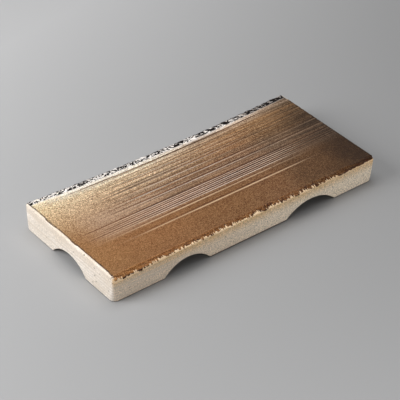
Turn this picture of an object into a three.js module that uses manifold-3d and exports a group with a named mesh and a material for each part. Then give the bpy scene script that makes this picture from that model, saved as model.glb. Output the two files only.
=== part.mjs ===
// Rectangular stoneware serving plate: a glazed deck on low clay walls with finger arches.
// Millimetres, +Z up. The origin is on the surface it stands on, under the middle of the plate.
// +X runs along the plate to its right end, and the front long side faces -Y.

import * as THREE from 'three';
import { mergeVertices } from 'three/addons/utils/BufferGeometryUtils.js';
import Module from 'manifold-3d';

const wasm = await Module();
wasm.setup();

// Overall size, with the height taken at the glazed deck
const length = 350;
const width = 153;
const height = 31.5;

// How far the rear edge curves in at mid-length
const rearBow = 5;

// Clay and glaze thicknesses
const wallThickness = 10;
const deckThickness = 8;
const glazeThickness = 0.7;

// Outer corners, sharper at the deck than at the foot, and the softened edges of the foot and the ends
const cornerRadiusTop = 2.5;
const cornerRadiusFoot = 7;
const footRounding = 1.4;
const endRounding = 1.8;

// Finger arches in the long walls: each starts a foot's length from its end of the plate
const leftFootLength = 64;
const leftArchSpan = 59;
const rightFootLength = 56;
const rightArchSpan = 69;
const longArchRise = 14.5;

// Finger arch in each end wall
const endArchSpan = 58;
const endArchShift = -1;
const endArchRise = 14;

// Rounding where an arch meets the foot
const archFootRounding = 3.5;

// Chipped front arris: how far it reaches back and down, and the length of one chip
const hewnBack = 4.5;
const hewnDown = 4;
const hewnLip = 0.4;
const hewnSetback = 0.2;
const chipLength = 6.5;
const chipDepth = 1.3;

// Torn rear margin: its width, the rise and fall of its surface, and the bites out of its edge
const tornWidth = 11.5;
const tornRelief = 0.45;
const tornBite = 0.7;
const tornSetback = 0.25;

// Glaze on the deck stops short of the ends, and a fine groove parts it from the torn margin
const glazeEndMargin = 2.3;
const rearGroove = 0.4;

// Combed lines: groups of parallel grooves. The first of a group, its front one, is placed by its distance
// from the rear edge of the glaze at mid-length
const combDepth = 0.28;
const combHalfWidth = 0.45;
const combStart = 26;
const combFade = 40;
const combGroups = [
  { first: 93.1, pitch: 10.7, count: 2 },
  { first: 77.1, pitch: 2.9, count: 6 },
  { first: 51.4, pitch: 5.1, count: 10 },
];

// Clay coil in the inside seams, which stops short of the foot
const coilLeg = 5;
const coilFootGap = 1.5;
const coilSink = 0.2;

// Steps that curves are drawn with
const cornerSteps = 5;
const rearSteps = 20;
const archSteps = 14;
const coilSteps = 4;
const chipStep = 2.8;
const tornStep = 3.5;
const combStations = 11;

// Places worked out from the sizes
const halfLength = length / 2;
const halfWidth = width / 2;
const bodyTop = height - glazeThickness;
const deckBottom = bodyTop - deckThickness;
const pocketX = halfLength - wallThickness;
const pocketFront = -halfWidth + wallThickness;
const pocketRear = halfWidth - rearBow - wallThickness;
const hewnInner = -halfWidth + hewnBack;
const hewnBottom = height - hewnDown;
const clear = 5;

// Rear edge of the plate in plan: a shallow curve, deepest at mid-length
function rearEdge(x) {
  const share = x / (halfLength - cornerRadiusTop);
  return halfWidth - rearBow * (1 - share * share);
}

// Solid through a row of rings that have the same number of points, with flat ends
function loft(rings, toPlane) {
  const count = rings[0].length;
  const positions = [];
  const index = [];
  for (const ring of rings) {
    for (const point of ring) {
      positions.push(point.x, point.y, point.z);
    }
  }
  for (let r = 0; r + 1 < rings.length; r += 1) {
    addBand(index, r * count, (r + 1) * count, count);
  }
  const lastStart = (rings.length - 1) * count;
  for (const [a, b, c] of THREE.ShapeUtils.triangulateShape(rings[0].map(toPlane), [])) {
    index.push(c, b, a);
  }
  for (const [a, b, c] of THREE.ShapeUtils.triangulateShape(rings.at(-1).map(toPlane), [])) {
    index.push(lastStart + a, lastStart + b, lastStart + c);
  }
  return indexedGeometry(positions, index);
}

// Band of triangles between two rings whose points start at a and b
function addBand(index, a, b, count) {
  for (let i = 0; i < count; i += 1) {
    const next = (i + 1) % count;
    index.push(a + i, a + next, b + next);
    index.push(a + i, b + next, b + i);
  }
}

function indexedGeometry(positions, index) {
  const geometry = new THREE.BufferGeometry();
  geometry.setAttribute('position', new THREE.Float32BufferAttribute(positions, 3));
  geometry.setIndex(index);
  return geometry;
}

const planeXY = (p) => new THREE.Vector2(p.x, p.y);
const planeYZ = (p) => new THREE.Vector2(p.y, p.z);

// Solid for joining and cutting, from a closed geometry
function solid(geometry) {
  const bare = geometry.clone();
  bare.deleteAttribute('normal');
  bare.deleteAttribute('uv');
  const merged = mergeVertices(bare, 1e-4);
  const vertProperties = new Float32Array(merged.attributes.position.array);
  const triVerts = new Uint32Array(merged.index.array);
  return new wasm.Manifold(new wasm.Mesh({ numProp: 3, vertProperties, triVerts }));
}

function geometryOf(body) {
  const mesh = body.getMesh();
  return indexedGeometry(Array.from(mesh.vertProperties), Array.from(mesh.triVerts));
}

// Box between two corners
function box(low, high) {
  const size = new THREE.Vector3().subVectors(high, low);
  const geometry = new THREE.BoxGeometry(size.x, size.y, size.z);
  geometry.translate((low.x + high.x) / 2, (low.y + high.y) / 2, (low.z + high.z) / 2);
  return geometry;
}

const at = (x, y, z) => new THREE.Vector3(x, y, z);

// Corner radius at a height: it grows towards the foot
function cornerRadius(z) {
  const low = Math.max(0, 1 - z / height);
  return cornerRadiusTop + (cornerRadiusFoot - cornerRadiusTop) * low ** 1.6;
}

// How far the softened foot edge draws in at a height
function footInset(z) {
  const low = Math.max(0, 1 - z / footRounding);
  return footRounding * (1 - Math.sqrt(1 - low * low));
}

// Plan outline of the plate at a height, counter-clockwise from the front left corner
function planRing(z) {
  const inset = footInset(z);
  const radius = cornerRadius(z) - inset;
  const x = halfLength - inset - radius;
  const front = -halfWidth + inset + radius;
  const rear = rearEdge(halfLength - cornerRadius(z)) - inset - radius;
  const ring = [];
  const corner = (cx, cy, start) => {
    for (let i = 0; i <= cornerSteps; i += 1) {
      const angle = start + (Math.PI / 2) * (i / cornerSteps);
      ring.push(at(cx + radius * Math.cos(angle), cy + radius * Math.sin(angle), z));
    }
  };
  corner(-x, front, Math.PI);
  corner(x, front, 1.5 * Math.PI);
  corner(x, rear, 0);
  for (let i = 1; i < rearSteps; i += 1) {
    const px = x * (1 - (2 * i) / rearSteps);
    ring.push(at(px, rearEdge(px) - inset, z));
  }
  corner(-x, rear, 0.5 * Math.PI);
  return ring;
}

// Cutter that softens the top edge of the end at side -1 or +1, and clears what is above it
function endEdgeCutter(side) {
  const shape = new THREE.Shape();
  shape.moveTo(-endRounding, 2 * clear);
  shape.lineTo(-endRounding, 0);
  shape.absarc(-endRounding, -endRounding, endRounding, 0.5 * Math.PI, 0, true);
  shape.lineTo(clear, -endRounding);
  shape.lineTo(clear, 2 * clear);
  const depth = width + 2 * clear;
  const geometry = new THREE.ExtrudeGeometry(shape, { depth, bevelEnabled: false, curveSegments: cornerSteps });
  geometry.rotateX(Math.PI / 2);
  geometry.translate(halfLength, halfWidth + clear, bodyTop);
  if (side < 0) {
    geometry.rotateZ(Math.PI);
  }
  return solid(geometry);
}

// The plate's whole outside as one block, up to a given height
function plateBlock(top) {
  const foot = [0, 0.15, 0.5, 1].map((share) => share * footRounding);
  const rise = [0.2, 0.4, 0.6, 0.8].map((share) => footRounding + share * (bodyTop - footRounding));
  const levels = [...foot, ...rise, bodyTop];
  if (top > bodyTop) {
    levels.push(top);
  }
  const block = solid(loft(levels.map(planRing), planeXY));
  return block.subtract(endEdgeCutter(-1)).subtract(endEdgeCutter(1));
}

// Cutter for a finger arch: a low round arch whose flanks turn out smoothly into the foot
function archCutter(span, rise, depth) {
  const radius = (span * span / 4 + rise * rise) / (2 * rise);
  const centre = rise - radius;
  const r = archFootRounding;
  const turnX = Math.sqrt((radius + r) ** 2 - (centre - r) ** 2);
  const flank = Math.atan2(r - centre, turnX);
  const shape = new THREE.Shape();
  shape.moveTo(-turnX, -clear);
  shape.lineTo(turnX, -clear);
  shape.lineTo(turnX, 0);
  shape.absarc(turnX, r, r, 1.5 * Math.PI, Math.PI + flank, true);
  shape.absarc(0, centre, radius, flank, Math.PI - flank, false);
  shape.absarc(-turnX, r, r, -flank, -0.5 * Math.PI, true);
  const geometry = new THREE.ExtrudeGeometry(shape, { depth, bevelEnabled: false, curveSegments: archSteps });
  geometry.rotateX(Math.PI / 2);
  return geometry;
}

// The two arches of a long wall whose outer face is at y, cut through to the inside
function longArches(outer, inner) {
  const depth = Math.abs(outer - inner) + 2 * clear;
  const back = Math.max(outer, inner) + clear;
  const left = archCutter(leftArchSpan, longArchRise, depth);
  left.translate(-halfLength + leftFootLength + leftArchSpan / 2, back, 0);
  const right = archCutter(rightArchSpan, longArchRise, depth);
  right.translate(halfLength - rightFootLength - rightArchSpan / 2, back, 0);
  return solid(left).add(solid(right));
}

// Long walls run the whole length and hold the corners
function frontWall() {
  const reach = box(
    at(-halfLength - clear, -halfWidth - clear, -clear),
    at(halfLength + clear, pocketFront, height + clear),
  );
  const seat = box(
    at(-halfLength - clear, -halfWidth - clear, hewnBottom),
    at(halfLength + clear, hewnInner, height + clear),
  );
  const wall = plateBlock(bodyTop).intersect(solid(reach));
  return geometryOf(wall.subtract(longArches(-halfWidth, pocketFront)).subtract(solid(seat)));
}

function rearWall() {
  const reach = box(
    at(-halfLength - clear, pocketRear, -clear),
    at(halfLength + clear, halfWidth + clear, height + clear),
  );
  const wall = plateBlock(bodyTop).intersect(solid(reach));
  return geometryOf(wall.subtract(longArches(halfWidth, pocketRear)));
}

// End walls stand between the long walls: side is -1 at the left end and +1 at the right
function endWall(side) {
  const reach = box(
    at(side < 0 ? -halfLength - clear : pocketX, pocketFront, -clear),
    at(side < 0 ? -pocketX : halfLength + clear, pocketRear, height + clear),
  );
  const cutter = archCutter(endArchSpan, endArchRise, wallThickness + 2 * clear);
  cutter.rotateZ(Math.PI / 2);
  cutter.translate(side < 0 ? -halfLength - clear : pocketX - clear, endArchShift, 0);
  const wall = plateBlock(bodyTop).intersect(solid(reach));
  return geometryOf(wall.subtract(solid(cutter)));
}

// Deck slab, luted between the four walls and flush with their tops
function deckSlab() {
  return box(at(-pocketX, pocketFront, deckBottom), at(pocketX, pocketRear, bodyTop));
}

// Clay coil pressed to a cove under the deck and down the four inside corners
function seamCoil() {
  const section = [
    [0, coilLeg],
    [0, 0],
  ];
  for (let i = 0; i < coilSteps; i += 1) {
    const angle = (Math.PI / 2) * (i / coilSteps);
    section.push([coilLeg * (1 - Math.sin(angle)), coilLeg * (1 - Math.cos(angle))]);
  }
  const positions = [];
  for (const [inset, drop] of section) {
    const z = deckBottom - drop;
    positions.push(-pocketX + inset, pocketFront + inset, z, pocketX - inset, pocketFront + inset, z);
    positions.push(pocketX - inset, pocketRear - inset, z, -pocketX + inset, pocketRear - inset, z);
  }
  const index = [];
  for (let i = 0; i < section.length; i += 1) {
    addBand(index, i * 4, ((i + 1) % section.length) * 4, 4);
  }
  let coil = solid(indexedGeometry(positions, index));
  for (const [x, y, turn] of [
    [-pocketX, pocketFront, 0],
    [pocketX, pocketFront, 1],
    [pocketX, pocketRear, 2],
    [-pocketX, pocketRear, 3],
  ]) {
    const shape = new THREE.Shape();
    shape.moveTo(0, 0);
    shape.lineTo(coilLeg, 0);
    shape.absarc(coilLeg, coilLeg, coilLeg, 1.5 * Math.PI, Math.PI, true);
    const depth = deckBottom - coilSink - coilFootGap;
    const leg = new THREE.ExtrudeGeometry(shape, { depth, bevelEnabled: false, curveSegments: coilSteps });
    leg.rotateZ((Math.PI / 2) * turn);
    leg.translate(x, y, coilFootGap);
    coil = coil.add(solid(leg));
  }
  return geometryOf(coil);
}

// Lines of the comb, as places across the deck at mid-length
function combLines(glazeRear) {
  const lines = [];
  for (const group of combGroups) {
    for (let i = 0; i < group.count; i += 1) {
      lines.push(glazeRear - group.first + i * group.pitch);
    }
  }
  return lines;
}

// Bronze glaze coat with combed grooves that follow the rear edge and fade towards the left end
function deckGlaze() {
  const end = halfLength - glazeEndMargin;
  const rearAtMiddle = rearEdge(0) - tornWidth - rearGroove;
  const rings = [];
  for (let i = 0; i < combStations; i += 1) {
    const x = -end + 2 * end * (i / (combStations - 1));
    const rear = rearEdge(x) - tornWidth - rearGroove;
    const fade = THREE.MathUtils.smoothstep(x + halfLength, combStart, combStart + combFade);
    const ring = [at(x, hewnInner, bodyTop), at(x, rear, bodyTop), at(x, rear, height)];
    for (const line of combLines(rearAtMiddle).reverse()) {
      const follow = (line - hewnInner) / (rearAtMiddle - hewnInner);
      const y = line + (rear - rearAtMiddle) * follow * follow;
      ring.push(at(x, y + combHalfWidth, height));
      ring.push(at(x, y, height - combDepth * fade));
      ring.push(at(x, y - combHalfWidth, height));
    }
    ring.push(at(x, hewnInner, height));
    rings.push(ring);
  }
  return loft(rings, planeYZ);
}

// Uneven wave between -1 and 1, different for each seed
function uneven(x, seed) {
  const slow = Math.sin(x / 9.7 + seed * 2.1);
  const quick = Math.sin(x / 4.3 + seed * 5.3);
  const fine = Math.sin(x / 2.6 + seed * 1.7);
  return 0.45 * slow + 0.35 * quick + 0.2 * fine;
}

// Even stations along the plate, a little inside its ends
function stations(step) {
  const end = halfLength - tornSetback;
  const count = Math.ceil((2 * end) / step);
  return Array.from({ length: count + 1 }, (_, i) => -end + (2 * end * i) / count);
}

// Rear margin: lumps across its width and bites out of its outer edge
function rearTornEdge() {
  const across = [0, 0.3, 0.55, 0.8, 1];
  const rings = stations(tornStep).map((x) => {
    const inner = rearEdge(x) - tornWidth;
    const bite = tornBite * (0.5 + 0.5 * uneven(x, 4));
    const outer = rearEdge(x) - tornSetback - bite;
    const ring = [at(x, inner, bodyTop), at(x, outer, bodyTop)];
    for (const share of [...across].reverse()) {
      const lump = tornRelief * share * (0.5 + uneven(x, share * 7));
      ring.push(at(x, inner + (outer - inner) * share, height + lump));
    }
    return ring;
  });
  const strip = solid(loft(rings, planeYZ));
  return geometryOf(strip.intersect(plateBlock(height + clear)));
}

// Front arris: a bevel of short scooped chips of uneven depth
function frontHewnEdge() {
  const outer = -halfWidth + hewnSetback;
  const rings = stations(chipStep).map((x) => {
    const place = x / chipLength + 0.3 * uneven(x, 1);
    const along = place - Math.floor(place);
    const scoop = 4 * along * (1 - along) * (0.65 + 0.35 * uneven(x, 2));
    const upper = hewnInner - hewnLip - hewnLip * (1 + uneven(x, 3));
    const lower = hewnBottom + hewnLip + hewnLip * (1 + uneven(x, 5));
    const middleY = (upper + outer) / 2 + (chipDepth * scoop) / 2;
    const middleZ = (height + lower) / 2 - (chipDepth * scoop) / 2;
    return [
      at(x, outer, hewnBottom),
      at(x, hewnInner, hewnBottom),
      at(x, hewnInner, height),
      at(x, upper, height),
      at(x, middleY, middleZ),
      at(x, outer, lower),
    ];
  });
  const strip = solid(loft(rings, planeYZ));
  return geometryOf(strip.intersect(plateBlock(height + clear)));
}

const clay = { color: 0xd8cfb8, roughness: 0.85, metalness: 0 };
const bronze = { color: 0x8a6238, roughness: 0.4, metalness: 0.25 };
const darkGlaze = { color: 0x2c211c, roughness: 0.2, metalness: 0 };
const brownGlaze = { color: 0x4a2f1c, roughness: 0.45, metalness: 0 };

function piece(name, geometry, finish) {
  geometry.computeVertexNormals();
  const mesh = new THREE.Mesh(geometry, new THREE.MeshStandardMaterial(finish));
  mesh.name = name;
  return mesh;
}

const plate = new THREE.Group();
plate.add(piece('deck_slab', deckSlab(), clay));
plate.add(piece('front_wall', frontWall(), clay));
plate.add(piece('rear_wall', rearWall(), clay));
plate.add(piece('left_end_wall', endWall(-1), clay));
plate.add(piece('right_end_wall', endWall(1), clay));
plate.add(piece('seam_coil', seamCoil(), clay));
plate.add(piece('deck_glaze', deckGlaze(), bronze));
plate.add(piece('rear_torn_edge', rearTornEdge(), darkGlaze));
plate.add(piece('front_hewn_edge', frontHewnEdge(), brownGlaze));

export default plate;
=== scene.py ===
import bpy
import bmesh
from math import atan2, cos, exp, floor, pi, radians, sin, sqrt
from mathutils import Matrix, Vector, noise


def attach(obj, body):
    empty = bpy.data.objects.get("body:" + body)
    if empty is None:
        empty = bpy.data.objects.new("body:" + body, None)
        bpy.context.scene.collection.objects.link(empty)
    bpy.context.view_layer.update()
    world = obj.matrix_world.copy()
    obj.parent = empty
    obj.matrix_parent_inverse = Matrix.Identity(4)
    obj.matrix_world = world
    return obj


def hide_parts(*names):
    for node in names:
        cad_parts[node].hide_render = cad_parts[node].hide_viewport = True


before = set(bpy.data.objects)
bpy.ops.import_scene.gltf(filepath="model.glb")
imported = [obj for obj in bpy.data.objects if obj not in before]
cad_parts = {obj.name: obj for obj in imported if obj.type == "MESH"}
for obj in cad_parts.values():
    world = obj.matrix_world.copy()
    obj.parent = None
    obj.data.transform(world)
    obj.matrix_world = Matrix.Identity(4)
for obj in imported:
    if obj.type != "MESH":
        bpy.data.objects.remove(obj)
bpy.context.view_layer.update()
print("frame loaded:", len(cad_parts), "nodes")

mm = 0.001
hair = 0.1 * mm  # what counts as the same place when edges are picked
skin = 0.01 * mm  # what counts as lying on a face
straight = 0.99  # least share of an edge that runs along an axis
squarely = 0.9  # least share of a normal that looks along an axis

# The plate's own sizes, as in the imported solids
plate = {
    "halfLength": 175 * mm,
    "halfWidth": 76.5 * mm,
    "deckTop": 31.5 * mm,
    "clayTop": 30.8 * mm,
    "deckBottom": 22.8 * mm,
    "pocketX": 165 * mm,
    "pocketFront": -66.5 * mm,
    "pocketRear": 61.5 * mm,
    "rearBow": 5 * mm,
    "cornerTop": 2.5 * mm,
    "cornerFoot": 7 * mm,
    "cornerEase": 1.6,
    "endRounding": 1.8 * mm,
    "footRounding": 0.7 * mm,
    "hewnBack": 4.5 * mm,
    "hewnDown": 4 * mm,
    "grooveStart": (-155 * mm, -85 * mm),
    "grooveEnd": (105 * mm, 150 * mm),
}
halfLength, halfWidth = plate["halfLength"], plate["halfWidth"]
deckTop, clayTop, deckBottom = plate["deckTop"], plate["clayTop"], plate["deckBottom"]
pocketX, pocketFront, pocketRear = plate["pocketX"], plate["pocketFront"], plate["pocketRear"]


def bow(x):  # how far the rear edge curves in at x
    share = x / (halfLength - plate["cornerTop"])
    return plate["rearBow"] * max(0.0, 1 - share * share)


def rearEdge(x):
    return halfWidth - bow(x)


def cornerRadius(z):  # corners are sharper at the deck than at the foot
    low = max(0.0, 1 - z / deckTop)
    return plate["cornerTop"] + (plate["cornerFoot"] - plate["cornerTop"]) * low ** plate["cornerEase"]


def ramp(value, low, high):  # smooth step from 0 at low to 1 at high
    share = min(1.0, max(0.0, (value - low) / (high - low)))
    return share * share * (3 - 2 * share)


def bump(distance, width):
    return exp(-(distance / width) ** 2)


# each uneven field is its own layer of one noise
layers = {
    "clothRipple": 1,
    "combSway": 2,
    "deckWave": 3,
    "rimPatch": 4,
    "combShift": 5,
    "combRagged": 6,
    "combLevel": 7,
    "endRun": 8,
    "endRagged": 9,
    "combPatch": 10,
    "tornLump": 11,
    "tornCrumb": 12,
    "tornDark": 14,
    "tornDrip": 15,
    "tornHang": 16,
    "tornBite": 17,
    "tornTwist": 19,
    "chipSway": 21,
    "chipKind": 22,
    "chipCrumb": 23,
    "chipLip": 27,
}
layerStep = 3.7
layerStart = 0.31


def wander(x, y, layer):  # uneven value from about -1 to 1, smooth over about one unit
    return noise.noise(Vector((x, y, layerStep * layers[layer] + layerStart)))


def rearGroove(x):  # strength of the groove before the torn margin, which fades at both ends
    return ramp(x, *plate["grooveStart"]) * (1 - ramp(x, *plate["grooveEnd"]))


def arrisDrop(fromEnd, radius):  # how far a rounded arris has fallen near its end
    near = min(radius, max(0.0, radius - fromEnd))
    return radius - sqrt(radius * radius - near * near)


# Modelling helpers: each works on one piece

def deselect():
    bpy.ops.object.select_all(action="DESELECT")


def pick(piece):
    deselect()
    piece.select_set(True)
    bpy.context.view_layer.objects.active = piece


def edit(piece):
    pick(piece)
    bpy.ops.object.mode_set(mode="EDIT")
    bpy.ops.mesh.select_all(action="SELECT")


def leaveEdit():
    bpy.ops.object.mode_set(mode="OBJECT")


def choose(piece, kind, test):  # select what passes the test, and count it
    bpy.ops.mesh.select_mode(type=kind)
    bpy.ops.mesh.select_all(action="DESELECT")
    mesh = bmesh.from_edit_mesh(piece.data)
    mesh.normal_update()
    parts = {"EDGE": mesh.edges, "FACE": mesh.faces}[kind]
    chosen = [part for part in parts if test(part)]
    for part in chosen:
        part.select_set(True)
    mesh.select_flush_mode()
    bmesh.update_edit_mesh(piece.data)
    return len(chosen)


def middle(edge):
    return (edge.verts[0].co + edge.verts[1].co) / 2


def runsAlong(edge, axis):
    step = edge.verts[1].co - edge.verts[0].co
    return abs(step[axis]) > straight * step.length


def named(name):  # the primitive that was just added
    piece = bpy.context.object
    piece.name = name
    piece.data.name = name
    return piece


def startBox(name, low, high):
    deselect()
    bpy.ops.mesh.primitive_cube_add(size=1)
    piece = named(name)
    piece.location = (Vector(low) + Vector(high)) / 2
    piece.scale = Vector(high) - Vector(low)
    bpy.ops.object.transform_apply(location=True, rotation=True, scale=True)
    return piece


def cutAcross(axis, places):  # cut the piece being edited across an axis
    for place in places:
        spot = Vector((0, 0, 0))
        spot[axis] = place
        facing = Vector((0, 0, 0))
        facing[axis] = 1
        bpy.ops.mesh.select_all(action="SELECT")
        bpy.ops.mesh.bisect(plane_co=spot, plane_no=facing)


def roundEdges(offset, segments, **settings):
    bpy.ops.mesh.bevel(offset=offset, segments=segments, clamp_overlap=False, **settings)


def faceOutwards():
    bpy.ops.mesh.select_all(action="SELECT")
    bpy.ops.mesh.normals_make_consistent(inside=False)


def applyModifier(piece, kind, **settings):
    pick(piece)
    modifier = piece.modifiers.new(kind.lower(), kind)
    for key, value in settings.items():
        setattr(modifier, key, value)
    bpy.ops.object.modifier_apply(modifier=modifier.name)


def carve(piece, cutter):
    applyModifier(piece, "BOOLEAN", operation="DIFFERENCE", object=cutter, solver="EXACT")
    bpy.data.objects.remove(cutter)


def smooth(piece, angle):
    pick(piece)
    bpy.ops.object.shade_smooth_by_angle(angle=radians(angle))


def paintTones(piece, tones):  # values for each point, which the material reads
    for key, values in tones.items():
        layer = piece.data.attributes.new(key, "FLOAT", "POINT")
        layer.data.foreach_set("value", values)


def settle(piece, material, slot, *nodes):
    piece.data.materials.clear()
    piece.data.materials.append(material)
    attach(piece, "root")
    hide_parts(*nodes)
    print("piece", piece.name, len(piece.data.polygons), "faces")


# Camera at the photograph's viewing angle

view = {
    "lens": 148.34,
    "sensor": 36,
    "clipEnd": 20,
    "azimuth": -39.984,
    "elevation": 36.513,
    "roll": 2.111,
    "distance": 1708.4 * mm,
    "aim": (-26.71 * mm, -26.2 * mm, 31.5 * mm),
}


def placeCamera():
    turn, lift, roll = (radians(view[key]) for key in ("azimuth", "elevation", "roll"))
    back = Vector((sin(turn) * cos(lift), -cos(turn) * cos(lift), sin(lift)))
    level = Vector((0, 0, 1)).cross(back).normalized()
    upright = back.cross(level)
    right = cos(roll) * level + sin(roll) * upright
    up = cos(roll) * upright - sin(roll) * level
    bpy.ops.object.camera_add()
    camera = bpy.context.object
    camera.name = "photoCamera"
    camera.data.lens = view["lens"]
    camera.data.sensor_width = view["sensor"]
    camera.data.clip_end = view["clipEnd"]
    place = Vector(view["aim"]) + back * view["distance"]
    camera.matrix_world = Matrix.Translation(place) @ Matrix((right, up, back)).transposed().to_4x4()
    bpy.context.scene.camera = camera


placeCamera()
bpy.context.scene.view_settings.view_transform = "Standard"
print("camera placed")


# Material helpers

def feed(node, inputs):  # each input gets a link, a colour or a plain value
    for key, value in inputs.items():
        socket = node.inputs[key]
        if isinstance(value, bpy.types.NodeSocket):
            node.id_data.links.new(value, socket)
        elif socket.type == "RGBA":
            socket.default_value = (*value, 1)
        else:
            socket.default_value = value


def addNode(tree, kind, inputs=None, **settings):
    node = tree.nodes.new(kind)
    for key, value in settings.items():
        setattr(node, key, value)
    feed(node, inputs or {})
    return node.outputs


def derive(kind, inputs, **settings):  # a node in the same tree as what feeds it
    tree = next(value.id_data for value in inputs.values() if isinstance(value, bpy.types.NodeSocket))
    return addNode(tree, kind, inputs, **settings)


def maths(operation, *terms):
    return derive("ShaderNodeMath", dict(enumerate(terms)), operation=operation)[0]


def times(result, *others):
    for other in others:
        result = maths("MULTIPLY", result, other)
    return result


def plus(result, *others):
    for other in others:
        result = maths("ADD", result, other)
    return result


def minus(first, second):
    return maths("SUBTRACT", first, second)


def span(value, low, high, toLow=0.0, toHigh=1.0):  # eases from toLow at low to toHigh at high
    inputs = {"Value": value, "From Min": low, "From Max": high, "To Min": toLow, "To Max": toHigh}
    return derive("ShaderNodeMapRange", inputs, interpolation_type="SMOOTHSTEP")["Result"]


def over(length, low, high, *ends):  # the same for a length, with low and high in mm
    return span(length, low * mm, high * mm, *ends)


def blend(share, first, second, mode="MIX"):
    inputs = {0: share, 6: first, 7: second}  # Mix takes its two colours at 6 and 7
    return derive("ShaderNodeMix", inputs, data_type="RGBA", blend_type=mode)[2]


def tint(first, second):
    return blend(1.0, first, second, "MULTIPLY")


def whereOn(tree):  # place on the piece, and its distance along each axis
    coords = addNode(tree, "ShaderNodeTexCoord")["Object"]
    axes = derive("ShaderNodeSeparateXYZ", {"Vector": coords})
    return coords, axes["X"], axes["Y"], axes["Z"]


def toneOf(tree, name):
    return addNode(tree, "ShaderNodeAttribute", attribute_name=name)["Fac"]


def stretched(coords, scale):
    return derive("ShaderNodeMapping", {"Vector": coords, "Scale": scale})["Vector"]


def cloud(coords, scale, detail=3.0, rough=0.55, twist=0.0):
    inputs = {"Vector": coords, "Scale": scale, "Detail": detail, "Roughness": rough, "Distortion": twist}
    return derive("ShaderNodeTexNoise", inputs)["Fac"]


def cells(coords, scale):  # distance from the middle of a cell, and a value that each cell draws
    found = derive("ShaderNodeTexVoronoi", {"Vector": coords, "Scale": scale, "Randomness": 1})
    return found["Distance"], derive("ShaderNodeSeparateColor", {"Color": found["Color"]})["Red"]


def newGroup(name, inputs, outputs):
    tree = bpy.data.node_groups.new(name, "ShaderNodeTree")
    for side, keys in (("INPUT", inputs), ("OUTPUT", outputs)):
        for key in keys:
            kind = "NodeSocketColor" if key in ("Color", "Tint") else "NodeSocketFloat"
            tree.interface.new_socket(key, in_out=side, socket_type=kind)
    return tree, tree.nodes.new("NodeGroupInput").outputs, tree.nodes.new("NodeGroupOutput")


def placeGroup(tree, group, inputs=None):
    return addNode(tree, "ShaderNodeGroup", inputs, node_tree=group)


def newMaterial(name):
    material = bpy.data.materials.new(name)
    material.use_nodes = True
    tree = material.node_tree
    return material, tree, tree.nodes["Principled BSDF"]


def bumpy(height, distance, strength):
    return derive("ShaderNodeBump", {"Height": height, "Distance": distance, "Strength": strength})["Normal"]


# In the finishes below, a row of two or four numbers says where a change starts and ends, and the value
# at each. Rows that run over the plate are in mm.

# Cream stoneware: sand grain, iron specks, wire-cut lines and toasted edges

clay = {
    "cream": (0.86, 0.79, 0.72),
    "shade": (0.75, 0.67, 0.58),
    "wire": (0.66, 0.57, 0.47),
    "toast": (0.78, 0.49, 0.2),
    "scorch": (0.5, 0.27, 0.09),
    # the front face's copy of the cream, painted for its shade and lighter to the right
    "frontLeft": (0.84, 0.67, 0.5),
    "frontRight": (0.95, 0.8, 0.61),
    "pit": (0.26, 0.2, 0.15),
    # colour of the painted contact shadow along the foot
    "foot": (0.07, 0.045, 0.03),
    "iron": (0.1, 0.06, 0.036),
    "driftScale": 34,
    "driftDetail": 4,
    "driftTone": (0.35, 0.68),
    "driftDull": (0.2, 0.8, 0.78, 0.92),
    "frontSide": (-75.9, -73.5, 1, 0),
    "frontAlong": (-120, 110),
    "frontShare": 0.85,
    "toastBand": (14, 28),
    "flameStretch": (1, 1, 0.5),
    "flameScale": 120,
    "flame": (0.3, 0.62, 0.75, 1),
    "heatFront": (-76, -73, 0.8, 0.1),
    "heatAlong": (-140, 60, 1.05, 1.0),
    "scorchBand": (25.5, 29, 0, 0.45),
    "footShadowMiddle": (50, 110, 1, 0),
    "footShadowEnds": (0.5, 1.3, 0.95, 0),
    "footShadowCentre": (1.1, 2.0, 0.97, 0),
    "fineScale": 1100,
    "fine": (0.3, 0.7, 0.66, 1.28),
    "coarseScale": 560,
    "coarse": (0.3, 0.7, 0.78, 1.19),
    "gritFront": 0.45,
    "gritAll": 0.5,
    "pitScale": 330,
    "pitRarity": 0.72,
    "ironScale": 200,
    "ironRarity": 0.93,
    "speck": (0.1, 0.24, 0.8, 0),
    "wireStretch": (5, 5, 430),
    "wireLine": (0.44, 0.6, 0, 0.65),
    "wireAlong": (-130, -40, 0.1, 0.85),
    "relief": {"fine": 0.45, "wire": 0.35, "coarse": 0.4},
    "frontFace": (-76.2, -75.8, 1, 0),
    "specular": 0.25,
    "bump": (0.4 * mm, 0.5),
}


def speckMask(coords, scale, rarity):  # a few cells of a pattern hold one speck each
    distance, drawn = cells(coords, scale)
    return times(span(distance, *clay["speck"]), maths("GREATER_THAN", drawn, rarity))


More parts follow.
